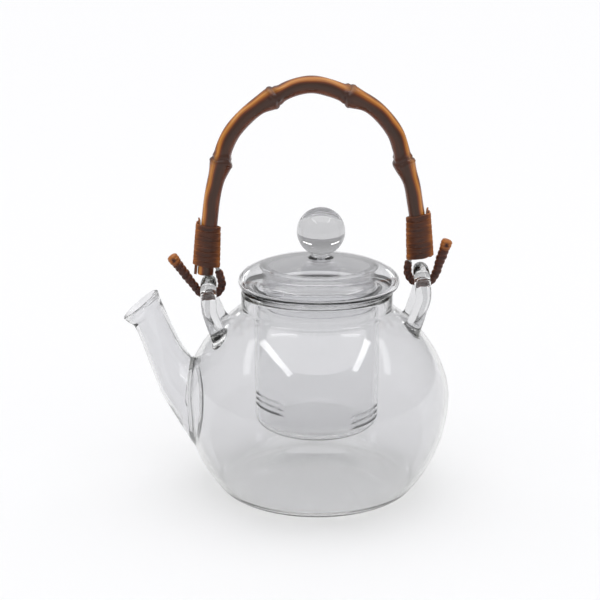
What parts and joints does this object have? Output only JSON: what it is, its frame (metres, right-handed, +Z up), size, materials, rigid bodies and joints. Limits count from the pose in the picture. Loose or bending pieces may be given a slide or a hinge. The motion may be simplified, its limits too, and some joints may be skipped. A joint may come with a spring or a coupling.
{
  "type": "glass teapot",
  "caption": "Round clear glass teapot with a flared-root spout, slit glass infuser, domed lid with a ball knob, and a bent bamboo bail hooked through two glass ears.",
  "frame": {"origin": "on the bowl's axis at the plane of its foot ring, where the pot stands", "axes": "+Z up along the bowl's axis; -X towards the spout; +X towards the right ear; -Y towards the viewer"},
  "size_m": [0.1705, 0.14, 0.2174],
  "materials": {
    "glass_pot": "clear borosilicate glass, gloss, very slightly grey",
    "glass_spout": "clear borosilicate glass, gloss",
    "glass_ear": "clear borosilicate glass rod, gloss",
    "glass_infuser": "clear borosilicate glass, gloss",
    "glass_lid": "clear borosilicate glass, gloss",
    "glass_knob": "solid clear glass ball, gloss",
    "bamboo": "stained and lacquered bamboo cane, gloss, dark at the nodes",
    "rattan": "wound rattan strip, semi-gloss, dark red-brown",
    "rattan_splint": "flat rattan strip, semi-gloss",
    "hook_steel": "bare steel wire",
    "rattan_hook": "thin rattan strip wound round the hook, semi-gloss"
  },
  "bodies": {
    "pot": {"pot_bowl": "glass_pot", "spout": "glass_spout", "left_ear": "glass_ear", "right_ear": "glass_ear"},
    "infuser": {"infuser_cup": "glass_infuser"},
    "lid": {"lid_dome": "glass_lid", "lid_skirt": "glass_lid", "lid_knob": "glass_knob"},
    "bail": {"bamboo_cane": "bamboo", "left_binding": "rattan", "right_binding": "rattan", "left_splint": "rattan_splint", "right_splint": "rattan_splint", "left_hook_wire": "hook_steel", "right_hook_wire": "hook_steel", "left_hook_wrap": "rattan_hook", "right_hook_wrap": "rattan_hook", "left_hook_tip": "rattan_hook", "right_hook_tip": "rattan_hook"}
  },
  "joints": [
    {"name": "bail_swing", "type": "hinge", "parent": "pot", "child": "bail", "pos_m": [-0.0555, 0, 0.0982], "axis": [0.998, 0, 0.0625], "range_deg": [-78, 78]},
    {"name": "infuser_lift", "type": "slide", "parent": "pot", "child": "infuser", "axis": [0, 0, 1], "range_m": [0, 0.05]},
    {"name": "lid_lift", "type": "slide", "parent": "infuser", "child": "lid", "axis": [0, 0, 1], "range_m": [0, 0.05]}
  ]
}
